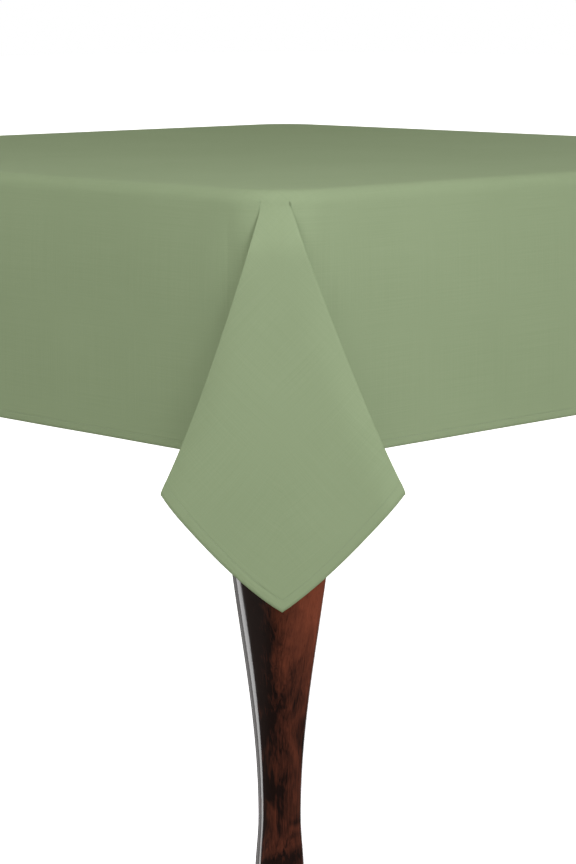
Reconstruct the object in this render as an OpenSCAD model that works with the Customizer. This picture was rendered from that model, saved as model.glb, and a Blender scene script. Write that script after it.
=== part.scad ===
// Square tablecloth with pressed box-pleat corners, on a dining table with cabriole legs.
// Origin on the floor under the middle of the table, +Z up, table sides along X and Y.
// Front is -Y, right is +X.

/* [Table top and aprons] */
// Side of the square wooden top
top_side = 1066; // [1000:2:1200]
// Height of the wooden top's upper face above the floor
top_height = 760; // [730:1:790]
// Thickness of the wooden top
top_thick = 22; // [20:1:28]
// Plan radius of the top's corners
top_corner_r = 70; // [60:1:80]
// Radius of the rounded upper edge of the top
top_edge_r = 12; // [8:1:15]
// Distance from the top's edge in to the faces of the leg posts
post_inset = 50; // [48:1:70]
// Height of the apron boards
apron_height = 98; // [92:1:105]
// Thickness of the apron boards
apron_thick = 19; // [17:1:24]

/* [Legs] */
// Side of the square blank that a leg is cut from
leg_blank = 91; // [86:1:94]
// Side of the square post at the top of a leg
leg_post = 64; // [60:1:66]
// Height of the knee, the widest place
knee_height = 520; // [500:1:540]
// Height of the ankle, the narrowest place
ankle_height = 122; // [110:1:135]
// Thickness of the ankle
ankle_d = 42; // [36:1:48]
// Diameter of the round pad foot
foot_d = 84; // [76:1:90]

/* [Tablecloth] */
// Height of cloth that hangs below its top surface at the sides
cloth_drop = 259; // [230:1:280]
// Thickness that the plain panels of the cloth stand for
cloth_thick = 1.5; // [1:0.1:2]
// Thickness of a corner fold, which is three layers of cloth
fold_thick = 3; // [2:0.1:4]
// Half width of a corner fold at its neck
fold_neck = 13.6; // [10:0.1:18]
// Half width of a corner fold at its widest
fold_half_width = 118; // [100:1:125]
// Depth of the fold's point below the cloth's top surface
fold_point = 405; // [390:1:410]
// Height of the hem's turned edge
hem_height = 10; // [6:1:15]
// Thickness of the turned edge inside the hem
hem_fold = 0.7; // [0.5:0.1:1]
// Space left between the cloth and the wood
cloth_gap = 0.3; // [0.2:0.1:0.5]

/* [Fixings] */
// Diameter of the hanger bolts
bolt_d = 8; // [6:1:8]
// Thickness of the corner blocks
block_thick = 30; // [26:1:32]
// Height of the corner blocks
block_height = 72; // [66:1:76]
// Width of the steel clips that hold the top down
clip_width = 20; // [16:1:24]
// Height of the glides under the feet
glide_height = 4; // [3:1:6]
// Diameter of the glides
glide_d = 26; // [20:1:30]

/* [Hidden] */
$fn = 64;

mahogany = "#4d211a";
inner_wood = "#a8835a";
steel = "#a9adb0";
sage = "#93a27e";
sage_thread = "#8b9a77";
nylon = "#4a4038";

half = top_side / 2;
top_under = top_height - top_thick;
root2 = sqrt(2);
both = [-1, 1];

// Legs: distances from the middle of the table along X or Y
post_out = half - post_inset;
post_mid = post_out - leg_post / 2;
post_in = post_out - leg_post;
blank_half = leg_blank / 2;
blank_mid = post_in + blank_half;
leg_sides = 20;
post_base = top_under - apron_height;
post_lap = 5; // how far the shaped part runs up inside the post

// Aprons stand a little behind the faces of the posts
apron_step = 3;
apron_out = post_out - apron_step;
apron_in = apron_out - apron_thick;

// Corner joint: distances from the middle of the table along the diagonal
post_chamfer = 20;
chamfer_dist = root2 * post_in + post_chamfer / root2;
block_gap = 17; // lets the bolts pull the post tight against the aprons
block_out = chamfer_dist - block_gap;
block_in = block_out - block_thick;
block_top = top_under - 10;
bolt_z = [block_top - 18, block_top - block_height + 18];
bolt_bite = 44; // length of the bolt inside the post
bolt_clear = 0.4;
washer_d = 20;
washer_thick = 1.6;
nut_af = 13;
nut_thick = 6.5;
bolt_tail = 4; // bolt end that shows past the nut

screw_d = 4.2;
screw_head_d = 8.5;
screw_head = 3;
block_screw_length = 26;
block_screw_spread = 20; // height of each screw above or below the block's middle

clip_place = 230; // distance of a clip from the middle of its apron
clip_metal = 1.3;
clip_foot = 8; // length in the apron's slot
clip_drop = 13; // from the underside of the top down to the slot
clip_tongue = 26; // length under the top
clip_screw_length = 15;
slot_height = 2.6;
slot_depth = 10;

// Cloth
cloth_under = top_height + cloth_gap;
cloth_top_z = cloth_under + cloth_thick;
edge_gap = cloth_gap + hem_fold; // lets the hem pass the top's edge as the cloth lifts
cloth_in = half + edge_gap;
cloth_out = cloth_in + cloth_thick;
hem_z = cloth_top_z - cloth_drop;
corner_dist = root2 * (half - top_corner_r) + top_corner_r;
fold_in = corner_dist + edge_gap;
fold_wide_depth = fold_point - fold_half_width; // the point is a right angle
fold_layer_gap = 0.2;
turn_height = 55; // until the fold is wide enough to cover the ends of the drops
turn_angles = [14, 32]; // each side of the diagonal
thread_d = 0.4;
thread_up = hem_height - 1.5; // the seam runs just under the turned edge

// ---- helpers ----

// Mirrors what is drawn for the back right corner to another corner or side
module to_corner(side_x, side_y)
    mirror([side_x < 0 ? 1 : 0, 0, 0]) mirror([0, side_y < 0 ? 1 : 0, 0]) children();

module at_corners()
    for (side_x = both, side_y = both) to_corner(side_x, side_y) children();

// Turns what is drawn along +X to run along the diagonal of the back right corner
module along_diagonal(z) translate([0, 0, z]) rotate([0, 0, 45]) children();

module rounded_square(half_side, r) {
    square([2 * half_side, 2 * (half_side - r)], center = true);
    square([2 * (half_side - r), 2 * half_side], center = true);
    for (x = both, y = both) translate([x * (half_side - r), y * (half_side - r)]) circle(r);
}

module quarter_disc(r) intersection() {
    circle(r);
    square(r);
}

// ---- table top and aprons ----

// Quarter-round moulding along the upper edge of the top, sides and corners
module edge_moulding() {
    inner = half - top_edge_r;
    straight = 2 * (half - top_corner_r);
    for (turn = [0:90:270]) rotate([0, 0, turn]) {
        translate([inner, straight / 2, 0]) rotate([90, 0, 0])
            linear_extrude(straight) quarter_disc(top_edge_r);
        translate([half - top_corner_r, half - top_corner_r, 0])
            rotate_extrude(angle = 90)
                translate([top_corner_r - top_edge_r, 0]) quarter_disc(top_edge_r);
    }
}

module table_top() color(mahogany) translate([0, 0, top_under]) {
    linear_extrude(top_thick - top_edge_r) rounded_square(half, top_corner_r);
    translate([0, 0, top_thick - top_edge_r]) {
        linear_extrude(top_edge_r)
            rounded_square(half - top_edge_r, top_corner_r - top_edge_r);
        edge_moulding();
    }
}

// Apron on the right side, with a slot for each clip
module apron() color(mahogany) difference() {
    translate([apron_in, -post_in, post_base]) cube([apron_thick, 2 * post_in, apron_height]);
    for (y = both)
        translate([apron_in - 1, y * clip_place - clip_width / 2 - 2, top_under - clip_drop - slot_height / 2])
            cube([slot_depth + 1, clip_width + 4, slot_height]);
}

module apron_right() apron();
module apron_left() rotate([0, 0, 180]) apron();
module apron_back() rotate([0, 0, 90]) apron();
module apron_front() rotate([0, 0, 270]) apron();

// ---- legs ----

// Where a leg changes shape: height, half width across the flats, shift out from the
// middle of the blank, squareness (2 is round), and the rings up to the next place
function leg_places() = [
    [glide_height, 0.33 * foot_d, 0, 2, 2],
    [0.28 * foot_d, foot_d / 2, 0, 2, 4],
    [0.68 * foot_d, 0.3 * foot_d, -9, 2, 3],
    [ankle_height, ankle_d / 2, -14, 2.2, 13],
    [knee_height, blank_half, 0, 6, 6],
    [post_base, leg_post / 2 - 0.1, post_mid - blank_mid, 20, 1],
    [post_base + post_lap, leg_post / 2 - 0.1, post_mid - blank_mid, 20, 0]
];

function ease(t) = (1 - cos(180 * t)) / 2;
function between(a, b, t) = a + (b - a) * t;

// Height runs evenly from one place to the next; the rest eases in and out
function leg_section(low, high, t) = [
    between(low[0], high[0], t),
    between(low[1], high[1], ease(t)),
    between(low[2], high[2], ease(t)),
    between(low[3], high[3], ease(t))
];

function sections() = let (p = leg_places(), last = len(p) - 1) [
    for (i = [0:last - 1], k = [0:p[i][4] - 1]) leg_section(p[i], p[i + 1], k / p[i][4]),
    leg_section(p[last], p[last], 0)
];

function signed_power(v, e) = sign(v) * pow(abs(v), e);

function section_ring(s) = [
    for (k = [0:leg_sides - 1]) let (a = 360 * (k + 0.5) / leg_sides) [
        blank_mid + s[2] + s[1] * signed_power(cos(a), 2 / s[3]),
        blank_mid + s[2] + s[1] * signed_power(sin(a), 2 / s[3]),
        s[0]
    ]
];

module leg_shaft() {
    rings = [for (s = sections()) section_ring(s)];
    count = len(rings);
    polyhedron(
        points = [for (ring = rings) each ring],
        faces = [
            [for (k = [0:leg_sides - 1]) k],
            for (i = [0:count - 2], k = [0:leg_sides - 1]) let (n = (k + 1) % leg_sides) each [
                [i * leg_sides + k, (i + 1) * leg_sides + k, i * leg_sides + n],
                [i * leg_sides + n, (i + 1) * leg_sides + k, (i + 1) * leg_sides + n]
            ],
            [for (k = [leg_sides - 1:-1:0]) (count - 1) * leg_sides + k]
        ]
    );
}

// Leg of the back right corner: a square post with its inner edge cut flat for the bolts
module leg() color(mahogany) {
    leg_shaft();
    difference() {
        translate([post_in, post_in, post_base]) cube([leg_post, leg_post, apron_height]);
        along_diagonal(post_base - 1)
            translate([0, -leg_post, 0]) cube([chamfer_dist, 2 * leg_post, apron_height + 2]);
        for (z = bolt_z) along_diagonal(z)
            translate([chamfer_dist - 1, 0, 0]) rotate([0, 90, 0]) cylinder(d = bolt_d, h = bolt_bite + 1);
    }
}

module leg_front_left() to_corner(-1, -1) leg();
module leg_front_right() to_corner(1, -1) leg();
module leg_back_left() to_corner(-1, 1) leg();
module leg_back_right() to_corner(1, 1) leg();

module foot_glides() color(nylon) at_corners() translate([blank_mid, blank_mid, 0]) {
    cylinder(d1 = glide_d - 4, d2 = glide_d, h = 1.5);
    translate([0, 0, 1.5]) cylinder(d = glide_d, h = glide_height - 1.5);
}

// ---- corner joints ----

// Block of the back right corner, drilled for the hanger bolts
module corner_block() color(inner_wood) difference() {
    translate([0, 0, block_top - block_height]) linear_extrude(block_height) polygon([
        [apron_in, root2 * block_in - apron_in],
        [apron_in, root2 * block_out - apron_in],
        [root2 * block_out - apron_in, apron_in],
        [root2 * block_in - apron_in, apron_in]
    ]);
    for (z = bolt_z) along_diagonal(z)
        translate([block_in - 1, 0, 0]) rotate([0, 90, 0])
            cylinder(d = bolt_d + bolt_clear, h = block_thick + 2);
}

module corner_block_front_left() to_corner(-1, -1) corner_block();
module corner_block_front_right() to_corner(1, -1) corner_block();
module corner_block_back_left() to_corner(-1, 1) corner_block();
module corner_block_back_right() to_corner(1, 1) corner_block();

// Draws one fixing at each hanger bolt, starting at a distance along the diagonal
module at_bolts(dist) at_corners() for (z = bolt_z) along_diagonal(z)
    translate([dist, 0, 0]) rotate([0, 90, 0]) children();

module hanger_bolts() color(steel) {
    start = block_in - washer_thick - nut_thick - bolt_tail;
    at_bolts(start) cylinder(d = bolt_d, h = chamfer_dist + bolt_bite - start);
}

module hanger_washers() color(steel) at_bolts(block_in - washer_thick) difference() {
    cylinder(d = washer_d, h = washer_thick);
    translate([0, 0, -1]) cylinder(d = bolt_d + bolt_clear, h = washer_thick + 2);
}

module hanger_nuts() color(steel) at_bolts(block_in - washer_thick - nut_thick) difference() {
    cylinder(d = nut_af / cos(30), h = nut_thick, $fn = 6);
    translate([0, 0, -1]) cylinder(d = bolt_d + 0.1, h = nut_thick + 2);
}

// Wood screw along +Z with its head on the plane z = 0
module wood_screw(length) {
    cylinder(d = screw_d, h = length - 4);
    translate([0, 0, length - 4]) cylinder(d1 = screw_d, d2 = 1, h = 4);
    translate([0, 0, -screw_head]) cylinder(d = screw_head_d, h = screw_head);
}

// Two screws through each end of a block, square to the apron behind it
module corner_block_screws() color(steel) {
    end_mid = root2 * (block_in + block_out) / 2 - apron_in;
    seat = block_thick / root2 - 2; // wood left under the screw head
    at_corners() for (rise = both, flip = [0, 1])
        mirror([flip, -flip, 0])
            translate([apron_in - seat, end_mid, block_top - block_height / 2 + rise * block_screw_spread])
                rotate([0, 90, 0]) wood_screw(block_screw_length);
}

// ---- clips that hold the top down ----

module at_clips() for (turn = [0:90:270], y = both)
    rotate([0, 0, turn]) translate([apron_in, y * clip_place, top_under]) children();

// Z-shaped clip: one end in the apron's slot, the other under the top
module top_clips() color(steel) at_clips() {
    translate([-clip_metal, -clip_width / 2, -clip_drop - clip_metal / 2])
        cube([clip_foot + clip_metal, clip_width, clip_metal]);
    translate([-clip_metal, -clip_width / 2, -clip_drop - clip_metal / 2])
        cube([clip_metal, clip_width, clip_drop + clip_metal / 2]);
    difference() {
        translate([-clip_tongue, -clip_width / 2, -clip_metal])
            cube([clip_tongue, clip_width, clip_metal]);
        translate([-clip_tongue * 0.55, 0, -clip_metal - 1]) cylinder(d = screw_d + 0.6, h = clip_metal + 2);
    }
}

module top_clip_screws() color(steel) at_clips()
    translate([-clip_tongue * 0.55, 0, -clip_metal]) wood_screw(clip_screw_length);

// ---- tablecloth ----

module cloth_top() color(sage) translate([0, 0, cloth_under])
    linear_extrude(cloth_thick) rounded_square(cloth_out, top_corner_r + edge_gap + cloth_thick);

// Drop on the right side. Its ends are cut at 45 degrees to meet the backs of the folds
module cloth_drop_panel() {
    back = root2 * (fold_in - fold_layer_gap);
    color(sage) translate([0, 0, hem_z]) linear_extrude(cloth_under - hem_z) polygon([
        [cloth_in, back - cloth_in],
        [cloth_out, back - cloth_out],
        [cloth_out, cloth_out - back],
        [cloth_in, cloth_in - back]
    ]);
}

module cloth_drop_right() cloth_drop_panel();
module cloth_drop_left() rotate([0, 0, 180]) cloth_drop_panel();
module cloth_drop_back() rotate([0, 0, 90]) cloth_drop_panel();
module cloth_drop_front() rotate([0, 0, 270]) cloth_drop_panel();

// Stands what is drawn flat, x across and y up, in the plane of the back right fold
module in_fold_plane(dist) rotate([0, 0, 45]) translate([dist, 0, 0])
    rotate([90, 0, 90]) children();

// Pressed kite of the back right corner, neck at the table's corner, point down
module corner_fold() color(sage) in_fold_plane(fold_in) linear_extrude(fold_thick) polygon([
    [-fold_neck, cloth_under],
    [fold_neck, cloth_under],
    [fold_neck, cloth_top_z - top_edge_r - cloth_thick],
    [fold_half_width, cloth_top_z - fold_wide_depth],
    [0, cloth_top_z - fold_point],
    [-fold_half_width, cloth_top_z - fold_wide_depth],
    [-fold_neck, cloth_top_z - top_edge_r - cloth_thick]
]);

module corner_fold_front_left() to_corner(-1, -1) corner_fold();
module corner_fold_front_right() to_corner(1, -1) corner_fold();
module corner_fold_back_left() to_corner(-1, 1) corner_fold();
module corner_fold_back_right() to_corner(1, 1) corner_fold();

// Cloth that turns round the top's corners on both sides of each fold's neck
module corner_turns() color(sage) at_corners()
    translate([half - top_corner_r, half - top_corner_r, cloth_under - turn_height])
        rotate([0, 0, 45]) for (flip = [0, 1]) mirror([0, flip, 0]) rotate([0, 0, turn_angles[0]])
            rotate_extrude(angle = turn_angles[1] - turn_angles[0])
                translate([top_corner_r + edge_gap, 0]) square([cloth_thick, turn_height]);

// Draws a strip inside every free edge, from a height above the edge, for drops and folds
module along_edges(up, height, thick, drop_face, fold_face) {
    drop_half = root2 * fold_in - cloth_out - 2 * fold_thick;
    edge = root2 * fold_half_width - 2 * hem_height;
    for (turn = [0:90:270]) rotate([0, 0, turn])
        translate([drop_face, -drop_half, hem_z + up]) cube([thick, 2 * drop_half, height]);
    at_corners() in_fold_plane(fold_face) for (flip = [0, 1]) mirror([flip, 0, 0])
        translate([0, cloth_top_z - fold_point, 0]) rotate([0, 0, 45])
            translate([hem_height + 2, up, 0]) cube([edge - 4, height, thick]);
}

// Turned edge of the hem, on the inner face of the drops and folds
module hem_turnings() color(sage)
    along_edges(0, hem_height, hem_fold, cloth_in - hem_fold, fold_in - hem_fold);

// Row of stitches that holds the hem, on the outer face
module hem_thread() color(sage_thread)
    along_edges(thread_up, thread_d, thread_d, cloth_out, fold_in + fold_thick);

table_top();
apron_front();
apron_back();
apron_left();
apron_right();
leg_front_left();
leg_front_right();
leg_back_left();
leg_back_right();
corner_block_front_left();
corner_block_front_right();
corner_block_back_left();
corner_block_back_right();
hanger_bolts();
hanger_washers();
hanger_nuts();
corner_block_screws();
top_clips();
top_clip_screws();
foot_glides();
cloth_top();
cloth_drop_front();
cloth_drop_back();
cloth_drop_left();
cloth_drop_right();
corner_fold_front_left();
corner_fold_front_right();
corner_fold_back_left();
corner_fold_back_right();
corner_turns();
hem_turnings();
hem_thread();
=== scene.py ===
"""Looks of the tablecloth on a table: cloth, hem, stitches, cabriole legs, fixings, light and camera.

Everything is in metres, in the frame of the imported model. Depth means distance below the cloth's top.
"""
import math
import random

import bmesh
import bpy
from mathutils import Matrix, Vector

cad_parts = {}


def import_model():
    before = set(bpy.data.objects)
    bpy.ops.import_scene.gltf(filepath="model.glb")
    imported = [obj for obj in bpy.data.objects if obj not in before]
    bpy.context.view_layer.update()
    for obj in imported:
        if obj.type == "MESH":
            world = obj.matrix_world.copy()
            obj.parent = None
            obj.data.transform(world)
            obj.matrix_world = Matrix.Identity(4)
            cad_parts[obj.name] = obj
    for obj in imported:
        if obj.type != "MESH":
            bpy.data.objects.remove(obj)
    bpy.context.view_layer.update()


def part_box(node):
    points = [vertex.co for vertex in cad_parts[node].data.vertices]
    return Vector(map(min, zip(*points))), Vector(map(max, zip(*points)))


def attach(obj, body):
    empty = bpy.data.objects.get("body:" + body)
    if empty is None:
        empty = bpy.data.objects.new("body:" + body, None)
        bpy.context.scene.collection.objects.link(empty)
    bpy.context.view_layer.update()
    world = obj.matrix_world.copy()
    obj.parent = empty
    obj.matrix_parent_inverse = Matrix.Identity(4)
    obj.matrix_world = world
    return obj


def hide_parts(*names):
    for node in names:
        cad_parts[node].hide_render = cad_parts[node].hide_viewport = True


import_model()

MM = 0.001

# ---- sizes from the frame ----
WOOD_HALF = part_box("table_top")[1][0]
CLOTH_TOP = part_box("cloth_top")[1][2]
CLOTH_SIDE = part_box("cloth_drop_right")[1][0]
HEM_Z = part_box("cloth_drop_right")[0][2]
POINT_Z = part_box("corner_fold_front_right")[0][2]

# ---- sizes of the cloth ----
CLOTH_THICK = 0.6 * MM
WOOD_CORNER_R = 70 * MM
WOOD_EDGE_R = 12 * MM
FOLD_NECK = 13.6 * MM
FOLD_HALF = 118 * MM

SIDE_FLAT = WOOD_HALF - WOOD_CORNER_R  # the straight part of each side, half its length
FACE = CLOTH_SIDE - CLOTH_THICK / 2  # the middle of the cloth in a drop
TOP_MID = CLOTH_TOP - CLOTH_THICK / 2
CORNER_R = FACE - SIDE_FLAT
EDGE_R = FACE - (WOOD_HALF - WOOD_EDGE_R)
DROP = CLOTH_TOP - HEM_Z - 2 * MM  # hangs a little higher for being carried outwards
POINT = CLOTH_TOP - POINT_Z - 3 * MM
WIDE = POINT - FOLD_HALF  # depth of a fold's two side corners

ROOT2 = math.sqrt(2)


def clamp(t):
    return max(0.0, min(1.0, t))


def smooth(t):
    """Eases from 0 to 1."""
    t = clamp(t)
    return t * t * (3 - 2 * t)


def mix(a, b, t):
    return a + (b - a) * t


def spread(count):
    """Even steps from 0 to 1, both included."""
    return [i / count for i in range(count + 1)]


# ---- camera ----

CORNER = Vector((WOOD_HALF, -WOOD_HALF, CLOTH_TOP))  # where the two front sides' planes meet
CAMERA_BACK, CAMERA_RIGHT, CAMERA_UP = 2.3687, 0.0088, 0.1658  # from that corner
CAMERA_AZIMUTH, CAMERA_PITCH = math.radians(45.2), math.radians(-9.39)


def add_camera():
    """Looks at the front right corner along the table's diagonal, from a little above the top."""
    ahead = Vector((-math.sin(CAMERA_AZIMUTH), math.cos(CAMERA_AZIMUTH), 0))
    right = Vector((math.cos(CAMERA_AZIMUTH), math.sin(CAMERA_AZIMUTH), 0))
    aim = ahead * math.cos(CAMERA_PITCH) + Vector((0, 0, math.sin(CAMERA_PITCH)))
    data = bpy.data.cameras.new("camera")
    data.sensor_width = 36
    data.lens = 105.9
    data.clip_end = 200
    camera = bpy.data.objects.new("camera", data)
    camera.location = CORNER - ahead * CAMERA_BACK + right * CAMERA_RIGHT + Vector((0, 0, CAMERA_UP))
    camera.rotation_euler = aim.to_track_quat("-Z", "Y").to_euler()
    bpy.context.collection.objects.link(camera)
    bpy.context.scene.camera = camera


# ---- shape of a pressed corner fold ----
# A corner's plan has its origin at the centre of the corner's arc: "across" runs sideways and
# "out" runs along the table's diagonal. The fold has three layers: front, middle and back.

LAYER_GAP = 2.0 * MM  # between the front and the middle layer
STAND_OFF = 6.0 * MM  # how far the cloth's stiffness carries it outwards below the table's edge
STAND_OFF_DEPTH = 95 * MM
# the rolled edge ends at the slope that stand_off starts with, so it turns less than a right angle
ROUND_END = math.pi / 2 - math.atan(2 * STAND_OFF / STAND_OFF_DEPTH)  # angle turned over the edge
ROUND_R = EDGE_R / (1 - math.cos(ROUND_END))
ROUND_REACH = ROUND_R * math.sin(ROUND_END)
FRONT_OUT = 14 * MM  # how far the front layer stands off the corner's arc
BACK_OUT = 3 * MM  # and the back one
PART_FROM = 14 * MM  # depth at which the layers start to part, and the depth it takes them
PART_LENGTH = 48 * MM
FLARE = 0.19
BACK_BEND = 8 * MM  # how soft the bend is where the back layer leaves the drop's plane
VALLEY = 12 * MM  # where the middle layer turns into the back one
MIDDLE_SLOPE = 1.05  # of the middle layer's columns at their hem, as in Column
HALVINGS = 40  # of the depth range searched for a hem
BIAS_STRETCH = 1.03  # the fold hangs on the bias of the weave
NECK_ANGLE = math.asin(FOLD_NECK / CORNER_R)
PINCH = 0.002  # above the neck the layers' columns run side by side, this share of its angle apart


def stand_off(depth):
    """The cloth leaves the rounded edge sloping outwards and only hangs straight down lower on."""
    t = clamp((depth - EDGE_R) / STAND_OFF_DEPTH)
    return STAND_OFF * t * (2 - t)


def crease_half(depth):
    """Half width of the fold: it flares a little more towards its side corners."""
    t = max(depth - EDGE_R, 0) / (WIDE - EDGE_R)
    return mix(FOLD_NECK, FOLD_HALF, mix(t, t * t, FLARE))


def parted(depth):
    """0 where the fold's layers still lie together on the rolled edge, 1 where they have come apart."""
    return smooth(clamp((depth - PART_FROM) / PART_LENGTH) ** 0.75)


def arc_out(across):
    """On the arc round the wooden corner."""
    return math.sqrt(max(CORNER_R ** 2 - across ** 2, 0))


def front_out(across, depth):
    return mix(arc_out(across), CORNER_R + FRONT_OUT, parted(depth))


def middle_out(across, depth):
    return front_out(across, depth) - LAYER_GAP * parted(depth)


def back_out(across, depth):
    """Round the wooden corner at first; lower down straight on in the drop's plane, then along the fold."""
    plane, face = ROOT2 * CORNER_R - abs(across), CORNER_R + BACK_OUT
    bend = 0.5 * (plane + face - math.sqrt((plane - face) ** 2 + BACK_BEND ** 2))
    return mix(arc_out(across), bend, parted(depth))


def front_hem(share):
    """Depth at which a front column meets the fold's lower edge; share is 0 at the crease, 1 mid-fold."""
    low, high = WIDE, POINT
    for _ in range(HALVINGS):
        depth = (low + high) / 2
        if (1 - share) * crease_half(depth) < POINT - depth:
            low = depth
        else:
            high = depth
    return low


def unfold_crease(across, depth):
    """Where a point of the middle layer lies in the fold's front plane once it is opened out."""
    lean = math.atan2(FOLD_HALF - FOLD_NECK, WIDE - EDGE_R)
    along = Vector((math.sin(lean), math.cos(lean)))
    start = Vector((FOLD_NECK, EDGE_R))
    point = Vector((abs(across), depth)) - start
    return start + 2 * point.dot(along) * along - point


class Column:
    """One line of the cloth from the top's flat part to the hem, in a corner's plan."""

    def __init__(self, angle, place, hem, slope, cloth, sway=0.0):
        self.angle = angle  # round the corner's arc, 0 on the diagonal
        self.place = place  # depth to (across, out)
        self.hem = hem  # depth of the hem
        self.slope = slope  # depth run through for each unit of distance from the hem
        self.cloth = cloth  # depth to (along the diagonal, across) on the flat cloth
        self.sway = sway  # how much of the fold's own lean and curl it takes

    def mirrored(self):
        def place(depth):
            across, out = self.place(depth)
            return -across, out

        def cloth(depth):
            q, across = self.cloth(depth)
            return q, -across

        return Column(-self.angle, place, self.hem, self.slope, cloth, self.sway)


def path_of(depth):
    """Length of cloth from a corner's arc centre down to a depth."""
    return CORNER_R - ROUND_REACH + ROUND_R * ROUND_END + max(depth - EDGE_R, 0)


def back_column(share):
    """From the drop, share 0, to the valley behind the fold, share 1."""
    tangent = -CORNER_R / ROOT2
    angle = mix(-math.pi / 4, -NECK_ANGLE, share)

    def place(depth):
        across = mix(CORNER_R * math.sin(angle), mix(tangent, -VALLEY, share), parted(depth))
        return across, back_out(across, depth)

    def cloth(depth):
        q, side = path_of(depth), CORNER_R * (angle + math.pi / 4)
        return (q + side) / ROOT2, (side - q) / ROOT2

    return Column(angle, place, DROP, 1.0, cloth)


def valley_column(turn):
    """Round the valley, from the back layer, turn 0, to the middle one, turn 1."""
    def place(depth):
        across = -mix(FOLD_NECK, VALLEY, parted(depth))
        back, middle = back_out(across, depth), middle_out(across, depth)
        radius = (middle - back) / 2
        return across + radius * math.sin(math.pi * turn), back + radius * (1 - math.cos(math.pi * turn))

    def cloth(depth):
        return back_column(1.0).cloth(depth)

    return Column(-NECK_ANGLE * (1 - PINCH * turn), place, DROP, 1.0, cloth)


def middle_column(share):
    """From the valley, share 0, to the crease, share 1."""
    def place(depth):
        valley = -mix(FOLD_NECK, VALLEY, parted(depth))
        radius = LAYER_GAP / 2 * parted(depth)
        across = mix(valley, -crease_half(depth) + radius, share)
        return across, middle_out(across, depth)

    def cloth(depth):
        across, fall = unfold_crease(place(depth)[0], depth)
        return path_of(fall), -across

    angle = -NECK_ANGLE * (1 - PINCH * (1 + share))
    return Column(angle, place, mix(DROP, WIDE, share), MIDDLE_SLOPE, cloth, sway=share)


def crease_column(turn):
    """Round the pressed crease, from the middle layer, turn 0, to the front one, turn 1."""
    def place(depth):
        radius = LAYER_GAP / 2 * parted(depth)
        across = -crease_half(depth) + radius
        middle = middle_out(across, depth)
        gap = front_out(across, depth) - middle
        return across - radius * math.sin(math.pi * turn), middle + gap / 2 * (1 - math.cos(math.pi * turn))

    def cloth(depth):
        return path_of(depth / BIAS_STRETCH), -crease_half(depth)

    angle = -NECK_ANGLE * (1 - PINCH * (2 + turn))
    return Column(angle, place, WIDE, mix(MIDDLE_SLOPE, ROOT2, turn), cloth, sway=1.0)


def front_column(share):
    """From the crease, share 0, to the middle of the fold's front, share 1."""
    def place(depth):
        radius = LAYER_GAP / 2 * parted(depth)
        across = (1 - share) * (-crease_half(depth) + radius)
        return across, front_out(across, depth)

    def cloth(depth):
        return path_of(depth / BIAS_STRETCH), place(depth)[0]

    angle = -NECK_ANGLE * (1 - share) * (1 - 3 * PINCH)
    return Column(angle, place, front_hem(share), ROOT2, cloth, sway=1.0)


def corner_columns():
    """All columns between the two drops of a corner, left to right seen from outside."""
    half = [back_column(s) for s in spread(16)[1:]]
    half += [valley_column(t) for t in spread(6)[1:-1]]
    half += [middle_column(s) for s in spread(18)]
    half += [crease_column(t) for t in spread(7)[1:-1]]
    half += [front_column(s) for s in spread(20)]
    return half + [c.mirrored() for c in reversed(half[:-1])]


# ---- rows of the cloth, from the flat top down to the hem and up inside it ----

SIDE_STEPS = 66
TOP_ROWS = spread(6)[:-1]
ROUND_ROWS = spread(9)
FALL_ROWS = [t ** 1.25 for t in spread(36)][1:]
STITCH_ROW = 8.2  # mm above the hem
HEM_ROWS = [13, 11, 9.9, 9.2, 8.7, STITCH_ROW, 7.7, 7, 5, 2.6, 1.6, 0.9, 0.4, 0]  # the same
TURN_ROWS = [(0.3, 1.15), (1, 1), (5, 1), (9.3, 1), (9.5, 0.7)]  # mm above the hem, share of the turn's gap
TURN_GAP = 1.0 * MM
MAIN_ROWS = len(TOP_ROWS) + len(ROUND_ROWS) + len(FALL_ROWS) - 1 + len(HEM_ROWS)  # without the turned ones


def fall_depths(hem, slope):
    start = EDGE_R
    zone = hem - HEM_ROWS[0] * MM * slope
    return [mix(start, zone, t) for t in FALL_ROWS[:-1]] + [hem - h * MM * slope for h in HEM_ROWS]


def hem_relief(above):
    """The turned edge shows as a faint step, the stitches draw the cloth in, and the hem's edge is round.

    Above is in mm over the hem.
    """
    step = 0.16 * smooth((12 - above) / 3.5)
    groove = 0.16 * math.exp(-((above - STITCH_ROW) / 0.9) ** 2)
    roll = 0.8 * (1 - smooth(above / 1.8))
    return (step - groove - roll) * MM


WAVE_HEIGHT = 0.8 * MM
WAVE_FADE = 90 * MM  # length over which the waves die out before a corner
WAVE_SPAN = 1.07  # about a side of the table, which holds 2 to 8 waves


class Waves:
    """Gentle swing of the drops: a few slow waves that grow towards the hem."""

    def __init__(self, seed):
        draw = random.Random(seed)
        self.parts = [
            (draw.uniform(0.5, 1.0) / k ** 0.7, 2 * math.pi * k / WAVE_SPAN, draw.uniform(0, 6.283))
            for k in (2, 3, 5, 8)
        ]

    def at(self, along, depth):
        total = sum(a * math.sin(f * along + p) for a, f, p in self.parts)
        fade = smooth((SIDE_FLAT - abs(along)) / WAVE_FADE)
        return WAVE_HEIGHT * total * fade * smooth(depth / DROP) ** 1.2


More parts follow.
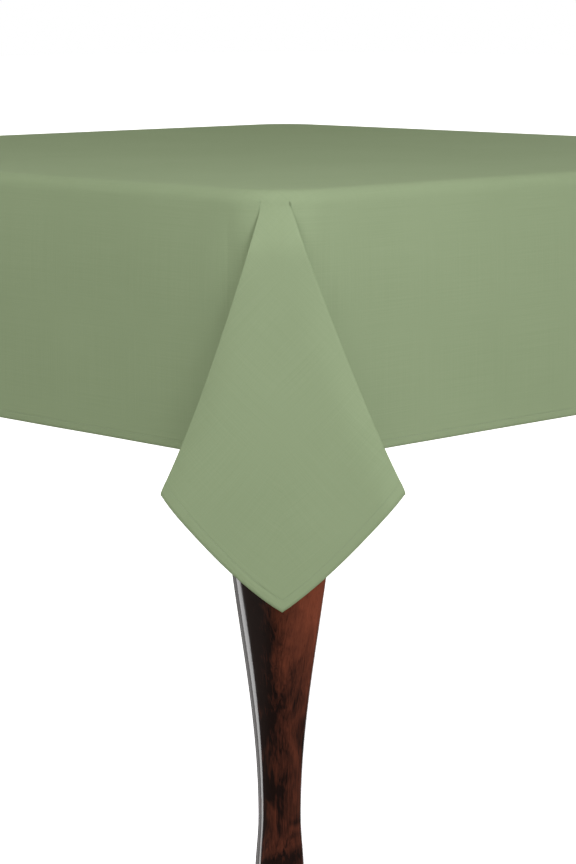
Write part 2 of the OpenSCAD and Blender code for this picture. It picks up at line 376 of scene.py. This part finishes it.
FOLD_HABITS = [  # for each corner: turn in degrees; lean, bow forward, sag of its two lower edges in mm
    (1.5, -3, 2.0, 6, 8),
    (-1.0, 4, 1.5, 8, 5),
    (2.0, -5, 2.5, 5, 7),
    (-3.0, 8, 2.0, 8.5, 6.5),
]
CORNER_SAG = 5 * MM  # of a fold's side corners
EDGE_ROLL = 9 * MM  # how far a fold's side edges roll back
ROLL_WIDTH = 30 * MM
ROLL_FROM, ROLL_GROWTH = 26 * MM, 50 * MM  # half width at which they start to, and the growth it takes
CORNER_BLUNT, BLUNT_LENGTH = 0.5 * MM, 5 * MM  # how much the pressed corners are rubbed off


def settle_fold(across, out, depth, sway, habit):
    """Moves a point of a fold's layers by how that fold happens to hang: gives across, out and sag."""
    _, lean, bow, sag_left, sag_right = habit
    t = clamp((depth - EDGE_R) / (WIDE - EDGE_R))
    side = clamp(abs(across) / FOLD_HALF)
    bulge = bow * MM * math.sin(math.pi * clamp(depth / POINT)) * (1 - side ** 2)
    room = clamp((crease_half(depth) - ROLL_FROM) / ROLL_GROWTH)
    edge = clamp(1 - (crease_half(depth) - abs(across)) / ROLL_WIDTH)
    back = EDGE_ROLL * room * edge ** 2
    sag = (sag_left if across < 0 else sag_right) * math.sin(math.pi * side ** 0.85) * MM
    sag = (sag + CORNER_SAG * side) * smooth(depth / WIDE) ** 2
    sag -= across * lean * MM / (2 * (WIDE - EDGE_R)) * smooth(t)
    blunt = CORNER_BLUNT * math.exp(-((depth - WIDE) / BLUNT_LENGTH) ** 2) * smooth((side - 0.85) / 0.15)
    across -= sway * math.copysign(blunt, across)
    return across + sway * lean * MM * math.sqrt(t), out + sway * (bulge - back), sway * sag


def turned(x, y, quarter):
    """Turned round the table's middle by quarter turns, anticlockwise."""
    for _ in range(quarter):
        x, y = -y, x
    return x, y


def side_points(along, waves):
    """One column of a drop: places and flat-cloth places for its rows, on the right side."""
    def at(depth, above):
        out = FACE + stand_off(depth) + waves.at(along, depth)
        return (out, along, TOP_MID - depth), (SIDE_FLAT + path_of(depth), along, above)

    inner = FACE - ROUND_REACH
    rows = []
    for t in TOP_ROWS:
        reach = mix(SIDE_FLAT, inner, t)
        rows.append(((reach, along, TOP_MID), (reach, along, DROP)))
    for t in ROUND_ROWS:
        a = t * ROUND_END
        place = (inner + ROUND_R * math.sin(a), along, TOP_MID - ROUND_R * (1 - math.cos(a)))
        rows.append((place, (inner + ROUND_R * a, along, DROP)))
    rows += [at(d, DROP - d) for d in fall_depths(DROP, 1.0)]
    return rows, [at(DROP - above * MM, above * MM) for above, _ in TURN_ROWS]


def corner_points(column, habit):
    """The same for one column of the back right corner."""
    fixed = clamp((abs(column.angle) - NECK_ANGLE) / (math.pi / 4 - NECK_ANGLE))
    turn = math.radians(habit[0]) * (1 - fixed)

    def world(across, out, z):
        s, c = math.sin(turn), math.cos(turn)
        across, out = across * c + out * s, out * c - across * s
        return (SIDE_FLAT + (out - across) / ROOT2, SIDE_FLAT + (out + across) / ROOT2, z)

    def at(depth, above):
        across, out = column.place(depth)
        across, out, sag = settle_fold(across, out + stand_off(depth), depth, column.sway, habit)
        q, side = column.cloth(depth)
        flat = (SIDE_FLAT + (q - side) / ROOT2, SIDE_FLAT + (q + side) / ROOT2, above)
        return world(across, out, TOP_MID - depth - sag), flat

    def on_arc(radius, length, depth):
        s, c = math.sin(column.angle), math.cos(column.angle)
        flat = world(length * s, length * c, column.hem)
        return world(radius * s, radius * c, TOP_MID - depth), flat

    inner = CORNER_R - ROUND_REACH
    rows = [on_arc(t * inner, t * inner, 0) for t in TOP_ROWS]
    for t in ROUND_ROWS:
        a = t * ROUND_END
        radius, depth = inner + ROUND_R * math.sin(a), ROUND_R * (1 - math.cos(a))
        place, flat = on_arc(radius, inner + ROUND_R * a, depth)
        if depth > PART_FROM:
            across, out = column.place(depth)
            place = world(across * radius / CORNER_R, out * radius / CORNER_R, TOP_MID - depth)
        rows.append((place, flat))
    rows += [at(d, (column.hem - d) / column.slope) for d in fall_depths(column.hem, column.slope)]
    hem = [at(column.hem - above * MM * column.slope, above * MM) for above, _ in TURN_ROWS]
    return rows, hem


def skirt_columns():
    """Every column round the table, anticlockwise: each side, then the corner after it."""
    columns = []
    corner = corner_columns()
    for quarter in range(4):
        waves = Waves(quarter + 11)
        made = [side_points(mix(-SIDE_FLAT, SIDE_FLAT, s), waves) for s in spread(SIDE_STEPS)]
        made += [corner_points(c, FOLD_HABITS[quarter]) for c in corner]
        for rows, turn in made:
            spin = [[(*turned(p[0], p[1], quarter), p[2]) for p in pair] for pair in rows + turn]
            columns.append(([pair[0] for pair in spin], [pair[1] for pair in spin]))
    return columns


def shape_hem(places):
    """Presses the hem's relief into the columns and lays the turned edge behind it; gives the normals."""
    around, front = len(places), MAIN_ROWS - len(HEM_ROWS)

    def normal(i, j):
        down = places[i][min(j + 1, MAIN_ROWS - 1)] - places[i][j - 1]
        return down.cross(places[(i + 1) % around][j] - places[i - 1][j]).normalized()

    normals = [[normal(i, j) for j in range(front, MAIN_ROWS)] for i in range(around)]
    for column, out in zip(places, normals):
        for j, above in enumerate(HEM_ROWS):
            column[front + j] += out[j] * hem_relief(above)
        for j, (above, share) in enumerate(TURN_ROWS):
            near = min(range(len(HEM_ROWS)), key=lambda k: abs(HEM_ROWS[k] - max(above, 1)))
            column[MAIN_ROWS + j] -= out[near] * TURN_GAP * share
    return normals


def weave_sheet(places, flats):
    """The cloth's faces: a grid over the flat top and a skirt of columns that start from its border."""
    mesh = bmesh.new()
    weave = mesh.verts.layers.float_vector.new("weave")

    def vertex(place, flat):
        v = mesh.verts.new(place)
        v[weave] = flat
        return v

    steps = [mix(-SIDE_FLAT, SIDE_FLAT, s) for s in spread(SIDE_STEPS)]
    top = [[vertex((x, y, TOP_MID), (x, y, DROP)) for y in steps] for x in steps]
    for i in range(SIDE_STEPS):
        for j in range(SIDE_STEPS):
            mesh.faces.new((top[i][j], top[i + 1][j], top[i + 1][j + 1], top[i][j + 1]))

    around, last = len(places), SIDE_STEPS

    def border(i):
        """The top grid's vertex that column i starts from."""
        quarter, k = divmod(i, around // 4)
        k = min(k, last)
        return (top[last][k], top[last - k][last], top[0][last - k], top[k][0])[quarter]

    skirt = []
    for i in range(around):
        skirt.append([border(i)] + [vertex(p, f) for p, f in zip(places[i][1:], flats[i][1:])])
    for i in range(around):
        a, b = skirt[i], skirt[(i + 1) % around]
        for j in range(len(a) - 1):
            corners = [a[j], a[j + 1], b[j + 1], b[j]]
            if j == 0 and a[0] == b[0]:
                corners.pop()
            mesh.faces.new(corners)
    bmesh.ops.recalc_face_normals(mesh, faces=mesh.faces)
    if max(mesh.faces, key=lambda f: f.calc_center_median().z).normal.z < 0:
        bmesh.ops.reverse_faces(mesh, faces=mesh.faces)
    return mesh


def make_tablecloth():
    """One sheet: the top, then columns down to the hem and a little way up inside it."""
    columns = skirt_columns()
    places = [[Vector(p) for p in column[0]] for column in columns]
    normals = shape_hem(places)
    cloth = add_object("tablecloth", weave_sheet(places, [column[1] for column in columns]))
    thicken(cloth, CLOTH_THICK)
    row = HEM_ROWS.index(STITCH_ROW)
    front = MAIN_ROWS - len(HEM_ROWS)
    seam = [(column[front + row], out[row]) for column, out in zip(places, normals)]
    return cloth, seam


def add_object(name, mesh):
    """Turns a bmesh into a smooth-shaded object and frees it."""
    for face in mesh.faces:
        face.smooth = True
    data = bpy.data.meshes.new(name)
    mesh.to_mesh(data)
    mesh.free()
    made = bpy.data.objects.new(name, data)
    bpy.context.collection.objects.link(made)
    return made


def thicken(piece, thickness):
    shell = piece.modifiers.new("thickness", "SOLIDIFY")
    shell.thickness = thickness
    shell.offset = 0
    depsgraph = bpy.context.evaluated_depsgraph_get()
    piece.data = bpy.data.meshes.new_from_object(piece.evaluated_get(depsgraph))
    piece.modifiers.clear()


# ---- hem stitches ----

STITCH_PITCH = 3.4 * MM
STITCH_LENGTH = 2.6 * MM
THREAD_R = 0.19 * MM
THREAD_SIDES = 6


def add_tube(mesh, path, radius):
    """A closed tube along a short path, narrower at both ends."""
    rings = []
    for i, p in enumerate(path):
        along = (path[min(i + 1, len(path) - 1)] - path[max(i - 1, 0)]).normalized()
        side = along.cross(Vector((0.3, 0.2, 0.9))).normalized()
        up = along.cross(side)
        r = radius * (0.45 if i in (0, len(path) - 1) else 1)
        turns = [2 * math.pi * k / THREAD_SIDES for k in range(THREAD_SIDES)]
        rings.append([mesh.verts.new(p + (side * math.cos(a) + up * math.sin(a)) * r) for a in turns])
    for a, b in zip(rings, rings[1:]):
        for k in range(THREAD_SIDES):
            n = (k + 1) % THREAD_SIDES
            mesh.faces.new((a[k], a[n], b[n], b[k]))
    mesh.faces.new(rings[0][::-1])
    mesh.faces.new(rings[-1])


def make_stitches(seam):
    """Lockstitches of even length all along the hem, each sunk into the cloth at its ends."""
    mesh = bmesh.new()
    carried = 0.0
    for (a, normal_a), (b, normal_b) in zip(seam, seam[1:] + seam[:1]):
        length = (b - a).length
        if length < 0.05 * MM:
            continue
        at = carried
        while at < length:
            along = (b - a) / length
            normal = normal_a.lerp(normal_b, at / length).normalized()
            start = a + along * at + normal * (CLOTH_THICK / 2)
            path = [start + along * STITCH_LENGTH * t + normal * THREAD_R * (4.4 * t * (1 - t) - 0.5)
                    for t in (0, 0.2, 0.5, 0.8, 1)]
            add_tube(mesh, path, THREAD_R)
            at += STITCH_PITCH
        carried = at - length
    return add_object("hem_stitches", mesh)


# ---- legs ----

GLIDE_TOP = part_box("foot_glides")[1][2]
POST_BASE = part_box("apron_front")[0][2]
POST_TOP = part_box("apron_front")[1][2]
POST = 64 * MM
POST_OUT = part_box("apron_front")[1][0] + POST
BLANK_HALF = 45.5 * MM
BLANK_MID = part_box("leg_back_right")[1][0] - BLANK_HALF
KNEE_Z = 520 * MM
ANKLE_Z = 122 * MM
ANKLE_R = 21 * MM
FOOT_R = 42 * MM
LEG_SIDES = 56
BOLT_FLAT = 20 * MM  # how far the flat cut on the post's inner edge runs into each side
POST_BEVEL = 1.2 * MM


def leg_places():
    """Where a leg changes shape: height, half width, shift outwards, squareness, rings to the next."""
    post_shift = POST_OUT - POST / 2 - BLANK_MID
    return [
        (GLIDE_TOP, 0.66 * FOOT_R, 0, 2, 6),
        (0.56 * FOOT_R, FOOT_R, 0, 2, 12),
        (1.36 * FOOT_R, 0.6 * FOOT_R, -9 * MM, 2, 8),
        (ANKLE_Z, ANKLE_R, -14 * MM, 2.2, 44),
        (KNEE_Z, BLANK_HALF, 0, 6, 18),
        (POST_BASE, POST / 2, post_shift, 20, 2),
        (POST_BASE + 4 * MM, POST / 2, post_shift, 20, 0),
    ]


def ease(t):
    """Eases from 0 to 1 along half a cosine wave."""
    return (1 - math.cos(math.pi * t)) / 2


def signed_power(value, exponent):
    return math.copysign(abs(value) ** exponent, value)


def leg_rings():
    """Height, half width, shift and squareness of each ring, from the foot up."""
    places = leg_places()
    for low, high in zip(places, places[1:]):
        for k in range(low[4]):
            t = k / low[4]
            yield [mix(low[0], high[0], t)] + [mix(low[i], high[i], ease(t)) for i in (1, 2, 3)]
    yield places[-1][:4]


def add_rings(mesh, rings):
    """Skins closed rings of places and caps both ends."""
    made = [[mesh.verts.new(p) for p in ring] for ring in rings]
    for a, b in zip(made, made[1:]):
        for k in range(len(a)):
            n = (k + 1) % len(a)
            mesh.faces.new((a[k], a[n], b[n], b[k]))
    mesh.faces.new(made[0][::-1])
    mesh.faces.new(made[-1])


def add_post(mesh):
    """The square top of a leg, its inner edge cut flat for the hanger bolts."""
    low, high, cut = POST_OUT - POST, POST_OUT, POST_OUT - POST + BOLT_FLAT
    plan = [(cut, low), (high, low), (high, high), (low, high), (low, cut)]
    post = bmesh.new()
    add_rings(post, [[(x, y, z) for x, y in plan] for z in (POST_BASE, POST_TOP)])
    bmesh.ops.bevel(post, geom=post.edges[:], offset=POST_BEVEL, segments=2, affect="EDGES", profile=0.5)
    part = bpy.data.meshes.new("post")
    post.to_mesh(part)
    post.free()
    mesh.from_mesh(part)
    bpy.data.meshes.remove(part)


def make_leg(name, side_x, side_y):
    """A cabriole leg with its pad foot and post, drawn at the back right corner and mirrored from there."""
    mesh = bmesh.new()
    turns = [2 * math.pi * (k + 0.5) / LEG_SIDES for k in range(LEG_SIDES)]
    rings = []
    for z, half, shift, square in leg_rings():
        middle = BLANK_MID + shift
        rings.append([
            (middle + half * signed_power(math.cos(a), 2 / square),
             middle + half * signed_power(math.sin(a), 2 / square), z)
            for a in turns
        ])
    add_rings(mesh, rings)
    add_post(mesh)
    for v in mesh.verts:
        v.co.x *= side_x
        v.co.y *= side_y
    bmesh.ops.recalc_face_normals(mesh, faces=mesh.faces)
    leg = add_object(name + "_wood", mesh)
    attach(leg, "table")
    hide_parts(name)
    return leg


# ---- materials ----

class Nodes:
    """A material's node tree, with short calls for what the materials here need."""

    def __init__(self, name):
        self.material = bpy.data.materials.new(name)
        self.material.use_nodes = True
        self.tree = self.material.node_tree
        self.shader = self.tree.nodes["Principled BSDF"]

    def add(self, kind, settings=(), **inputs):
        """A new node; inputs are named by their sockets, with _ for a space."""
        node = self.tree.nodes.new(kind)
        for key, value in dict(settings).items():
            setattr(node, key, value)
        for key, value in inputs.items():
            self.feed(node.inputs[key.replace("_", " ")], value)
        return node

    def feed(self, socket, value):
        if isinstance(value, bpy.types.NodeSocket):
            self.tree.links.new(value, socket)
        else:
            socket.default_value = value

    def set(self, **inputs):
        for key, value in inputs.items():
            self.feed(self.shader.inputs[key.replace("_", " ")], value)

    def math(self, operation, a, b=0.0, c=0.0):
        node = self.add("ShaderNodeMath", {"operation": operation})
        for socket, value in zip(node.inputs, (a, b, c)):
            self.feed(socket, value)
        return node.outputs[0]

    def noise(self, vector, scale, detail=2.0, roughness=0.5, distortion=0.0):
        node = self.add("ShaderNodeTexNoise", Vector=vector, Scale=scale, Detail=detail,
                        Roughness=roughness, Distortion=distortion)
        return node.outputs["Fac"]

    def stretched(self, vector, scale):
        return self.add("ShaderNodeMapping", Vector=vector, Scale=scale).outputs["Vector"]

    def ramp(self, value, *stops):
        node = self.add("ShaderNodeValToRGB", Fac=value)
        elements = node.color_ramp.elements
        while len(elements) < len(stops):
            elements.new(0.5)
        for element, (place, color) in zip(elements, stops):
            element.position = place
            element.color = (*color, 1) if len(color) == 3 else color
        return node.outputs["Color"]

    def blend(self, kind, share, a, b):
        node = self.add("ShaderNodeMix", {"data_type": "RGBA", "blend_type": kind})
        for index, value in ((0, share), (6, a), (7, b)):
            self.feed(node.inputs[index], value)
        return node.outputs[2]

    def bump(self, height, strength, distance):
        node = self.add("ShaderNodeBump", Height=height, Strength=strength, Distance=distance)
        self.set(Normal=node.outputs["Normal"])


def grey(value):
    return (value, value, value)


WEAVE_PITCH = 0.62 * MM
SLUBS_PER_METRE = 9


def cloth_material():
    """Sage plain weave: threads both ways with slight slubs, matt, with a soft nap, and painted shade in
    the dips between the threads.
    """
    n = Nodes("sage_cloth")
    flat = n.add("ShaderNodeAttribute", {"attribute_name": "weave"}).outputs["Vector"]
    axes = n.add("ShaderNodeSeparateXYZ", Vector=flat)
    warp_slub = n.noise(n.stretched(flat, (1 / WEAVE_PITCH, SLUBS_PER_METRE, 0)), 1.0, 1.0)
    weft_slub = n.noise(n.stretched(flat, (SLUBS_PER_METRE, 1 / WEAVE_PITCH, 0)), 1.0, 1.0)
    turn = math.pi / WEAVE_PITCH
    warp = n.math("SINE", n.math("MULTIPLY", axes.outputs["X"], turn))
    weft = n.math("SINE", n.math("MULTIPLY", axes.outputs["Y"], turn))
    threads = n.math("ADD", n.math("ABSOLUTE", warp), n.math("ABSOLUTE", weft))
    slubs = n.math("ADD", warp_slub, weft_slub)
    height = n.math("ADD", threads, n.math("MULTIPLY", slubs, 1.6))
    n.bump(height, 0.35, 0.12 * MM)

    broad = n.noise(flat, 5.0, 3.0, 0.6)
    tone = n.ramp(n.math("MULTIPLY_ADD", slubs, 0.35, n.math("MULTIPLY", broad, 0.3)),
                  (0.2, (0.268, 0.348, 0.188)), (0.8, (0.33, 0.416, 0.236)))
    # painted shade: the colour is darkened where the weave dips between threads
    painted_thread_shade = n.ramp(threads, (0.0, grey(0.86)), (1.0, grey(1.0)))
    n.set(Base_Color=n.blend("MULTIPLY", 1.0, tone, painted_thread_shade), Roughness=0.9, Specular_IOR_Level=0.12,
          Sheen_Weight=0.04, Sheen_Roughness=0.5, Sheen_Tint=(0.8, 0.9, 0.7, 1))
    return n.material


def thread_material():
    n = Nodes("hem_thread")
    where = n.add("ShaderNodeTexCoord").outputs["Object"]
    twist = n.noise(where, 1800.0, 1.0)
    n.bump(twist, 0.3, 0.05 * MM)
    n.set(Base_Color=n.ramp(twist, (0.3, (0.24, 0.31, 0.18)), (0.7, (0.33, 0.41, 0.25))), Roughness=0.6,
          Sheen_Weight=0.1)
    return n.material


def painted_flank_shade(n, where):
    """Painted shade across each leg: one flank darker, as the side away from the key light, and darker all
    round towards the ankle.
    """
    axes = n.add("ShaderNodeSeparateXYZ", Vector=where)
    x, y = n.math("ABSOLUTE", axes.outputs["X"]), n.math("ABSOLUTE", axes.outputs["Y"])
    side = n.math("MULTIPLY_ADD", n.math("SUBTRACT", x, y), 12.0, 0.45)
    ankle_shade = n.add("ShaderNodeMapRange", Value=axes.outputs["Z"], From_Min=0.25, From_Max=0.35)
    return n.math("MULTIPLY", side, n.math("MULTIPLY_ADD", ankle_shade.outputs["Result"], 0.55, 0.45))


# the deep tone is the grain's darkest; the legs' painted shade also runs towards it
VARNISHED_DEEP, VARNISHED_RICH = (0.012, 0.006, 0.005), (0.26, 0.064, 0.03)
BARE_DEEP, BARE_RICH = (0.30, 0.17, 0.075), (0.48, 0.30, 0.15)


def wood_material(name, along, gloss=True, figured_and_shaded=False):
    """Wood with its grain along one axis: long streaks, slow figure and fine pores, bare or varnished; on
    the legs also painted shade on one flank and towards the ankle.
    """
    n = Nodes(name)
    where = n.add("ShaderNodeTexCoord").outputs["Object"]
    deep, rich = (VARNISHED_DEEP, VARNISHED_RICH) if gloss else (BARE_DEEP, BARE_RICH)

    def grain(across, down):
        return n.stretched(where, [down if axis == along else across for axis in range(3)])

    pores = n.noise(grain(900, 26), 1.0, 2.0, 0.5)
    if figured_and_shaded:
        streaks = n.noise(grain(190, 12.0), 1.0, 5.0, 0.62, 2.2)
        figure = n.noise(grain(22, 13.0), 1.0, 3.0, 0.55, 1.5)
    else:
        streaks = n.noise(grain(190, 4.0), 1.0, 5.0, 0.62, 0.8)
        figure = n.noise(grain(16, 0.9), 1.0, 3.0, 0.55, 1.5)
    tone = n.math("ADD", n.math("MULTIPLY", streaks, 0.4), n.math("MULTIPLY", figure, 0.6))
    low, high = 0.3, 0.8
    if figured_and_shaded:
        low, high = 0.42, 0.74
        # painted shade: the tone is pulled darker on one flank and towards the ankle
        tone = n.math("ADD", n.math("MULTIPLY", tone, 0.72), n.math("MULTIPLY", painted_flank_shade(n, where), 0.36))
    color = n.ramp(tone, (low, deep), (high, rich))
    dark_pores = n.ramp(pores, (0.30, grey(0.55)), (0.42, grey(1.0)))
    n.bump(n.math("ADD", pores, n.math("MULTIPLY", streaks, 0.6)), 0.04, 0.1 * MM)
    n.set(Base_Color=n.blend("MULTIPLY", 0.8, color, dark_pores), Roughness=0.6 if gloss else 0.7,
          Coat_Weight=1.0 if gloss else 0.0, Coat_Roughness=0.08)
    if gloss:
        n.set(Specular_IOR_Level=0.2, Specular_Tint=(1.0, 0.4, 0.25, 1))
    return n.material


def steel_material():
    n = Nodes("zinc_steel")
    where = n.add("ShaderNodeTexCoord").outputs["Object"]
    mottle = n.noise(where, 240.0, 3.0)
    n.bump(mottle, 0.15, 0.05 * MM)
    n.set(Base_Color=n.ramp(mottle, (0.3, (0.46, 0.47, 0.47)), (0.7, (0.62, 0.63, 0.62))), Metallic=1.0,
          Roughness=n.ramp(mottle, (0.3, grey(0.28)), (0.7, grey(0.42))))
    return n.material


def nylon_material():
    n = Nodes("nylon")
    where = n.add("ShaderNodeTexCoord").outputs["Object"]
    speck = n.noise(where, 700.0, 2.0)
    n.bump(speck, 0.2, 0.05 * MM)
    n.set(Base_Color=n.ramp(speck, (0.3, (0.06, 0.048, 0.04)), (0.7, (0.085, 0.068, 0.058))), Roughness=0.5)
    return n.material


def wear(piece, material):
    piece.data.materials.clear()
    piece.data.materials.append(material)


# ---- floor and light ----

def add_floor():
    mesh = bmesh.new()
    bmesh.ops.create_grid(mesh, x_segments=1, y_segments=1, size=40)
    floor = add_object("floor", mesh)
    n = Nodes("floor")
    n.set(Base_Color=(0.93, 0.93, 0.93, 1), Roughness=0.9, Specular_IOR_Level=0.1,
          Emission_Color=(1, 1, 1, 1), Emission_Strength=0.95)
    wear(floor, n.material)
    floor.visible_glossy = False
    floor.visible_diffuse = False


NEUTRAL = (1.0, 1.0, 1.0)
COOL = (1.0, 0.965, 1.12)


def add_area(name, place, aim, size, power, tint=NEUTRAL, diffuse=True, glossy=True):
    """A soft box; those with diffuse off only make reflections in the varnish."""
    data = bpy.data.lights.new(name, "AREA")
    data.shape = "RECTANGLE"
    data.size, data.size_y = size
    data.energy = power
    data.color = tint
    lamp = bpy.data.objects.new(name, data)
    lamp.location = place
    lamp.rotation_euler = (Vector(aim) - Vector(place)).to_track_quat("-Z", "Y").to_euler()
    lamp.visible_camera = False
    lamp.visible_diffuse = diffuse
    lamp.visible_glossy = glossy
    bpy.context.collection.objects.link(lamp)


SKY_TINT = (1.0, 1.0, 0.92)
SKY_LOW, SKY_HIGH = 0.42, 0.56
SKY_TOP = 0.6  # height of direction at which the sky is at its brightest
SKY_REFLECTED = 0.08  # share of it that the varnish shows


def add_world():
    """White to look at; as light, soft from above and dimmer from the sides and below."""
    world = bpy.data.worlds.new("studio")
    bpy.context.scene.world = world
    world.use_nodes = True
    tree = world.node_tree
    link = tree.links.new
    where = tree.nodes.new("ShaderNodeTexCoord")
    axes = tree.nodes.new("ShaderNodeSeparateXYZ")
    ramp = tree.nodes.new("ShaderNodeValToRGB")
    for element, place, level in zip(ramp.color_ramp.elements, (0.0, SKY_TOP), (SKY_LOW, SKY_HIGH)):
        element.position = place
        element.color = (*[level * c for c in SKY_TINT], 1)
    link(where.outputs["Generated"], axes.inputs["Vector"])
    link(axes.outputs["Z"], ramp.inputs["Fac"])

    seen = tree.nodes.new("ShaderNodeLightPath")
    dimmed = tree.nodes.new("ShaderNodeMath")
    dimmed.operation = "MULTIPLY_ADD"
    dimmed.inputs[1].default_value = SKY_REFLECTED - 1
    dimmed.inputs[2].default_value = 1
    light = tree.nodes["Background"]
    link(seen.outputs["Is Glossy Ray"], dimmed.inputs[0])
    link(dimmed.outputs[0], light.inputs["Strength"])
    link(ramp.outputs["Color"], light.inputs["Color"])

    backdrop = tree.nodes.new("ShaderNodeBackground")
    backdrop.inputs["Color"].default_value = (1, 1, 1, 1)
    choice = tree.nodes.new("ShaderNodeMixShader")
    link(seen.outputs["Is Camera Ray"], choice.inputs["Fac"])
    link(light.outputs["Background"], choice.inputs[1])
    link(backdrop.outputs["Background"], choice.inputs[2])
    link(choice.outputs["Shader"], tree.nodes["World Output"].inputs["Surface"])


FRONT = Vector((1, -1, 0)) / ROOT2  # from the table's middle towards the front corner
ACROSS = Vector((1, 1, 0)) / ROOT2  # to the right, seen from there
LEG_INSET = 0.07  # along the diagonal, from the top's square corner


def studio(bearing, distance, height):
    """A place round the front leg: bearing in degrees from the front, to the right."""
    a = math.radians(bearing)
    leg = FRONT * (CORNER.x * ROOT2 - LEG_INSET)
    return leg + (FRONT * math.cos(a) + ACROSS * math.sin(a)) * distance + Vector((0, 0, height))


def add_lights():
    corner, leg = studio(0, LEG_INSET, 0.65), studio(0, 0, 0.3)
    add_area("key", studio(28, 1.6, 1.4), corner, (0.6, 0.7), 11.2, COOL, glossy=False)
    add_area("fill", studio(-8, 1.3, 1.5), corner, (1.6, 1.0), 2.2, COOL, glossy=False)
    add_area("right_side", studio(60, 2.0, 1.3), corner, (1.0, 1.0), 8, COOL, glossy=False)
    add_area("left_side", studio(-50, 1.7, 1.8), corner, (1.0, 1.0), 9.2, COOL, glossy=False)
    add_area("left_card", studio(-130, 1.3, -0.1), leg, (0.8, 2.6), 6, diffuse=False)
    add_area("left_strip", studio(-108, 1.3, -0.1), leg, (0.26, 2.6), 11, diffuse=False)
    add_area("right_card", studio(158, 1.3, -0.1), leg, (0.3, 2.6), 3.5, diffuse=False)


# ---- the object ----

def lay_cloth():
    cloth, seam = make_tablecloth()
    stitches = make_stitches(seam)
    wear(cloth, cloth_material())
    wear(stitches, thread_material())
    for piece, slot in ((cloth, "cloth"), (stitches, "thread")):
        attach(piece, "tablecloth")
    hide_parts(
        "cloth_top", "cloth_drop_front", "cloth_drop_back", "cloth_drop_left", "cloth_drop_right",
        "corner_fold_front_left", "corner_fold_front_right", "corner_fold_back_left",
        "corner_fold_back_right", "corner_turns", "hem_turnings",
    )
    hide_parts("hem_thread")


def dress_table():
    """New legs, and the right material on every other part of the table."""
    along_x, along_y = wood_material("mahogany_x", 0), wood_material("mahogany_y", 1)
    upright = wood_material("mahogany_leg_painted_shade", 2, figured_and_shaded=True)
    bare = wood_material("inner_wood", 0, gloss=False)
    steel = steel_material()
    looks = {
        "table_top": along_x, "apron_front": along_x, "apron_back": along_x,
        "apron_left": along_y, "apron_right": along_y, "foot_glides": nylon_material(),
        "hanger_bolts": steel, "hanger_washers": steel, "hanger_nuts": steel,
        "corner_block_screws": steel, "top_clips": steel, "top_clip_screws": steel,
    }
    for side_y, depth in ((1, "back"), (-1, "front")):
        for side_x, width in ((-1, "left"), (1, "right")):
            looks["corner_block_%s_%s" % (depth, width)] = bare
            wear(make_leg("leg_%s_%s" % (depth, width), side_x, side_y), upright)
    for name, material in looks.items():
        wear(bpy.data.objects[name], material)


add_camera()
lay_cloth()
dress_table()
add_floor()
add_world()
add_lights()
bpy.context.scene.view_settings.view_transform = "Standard"
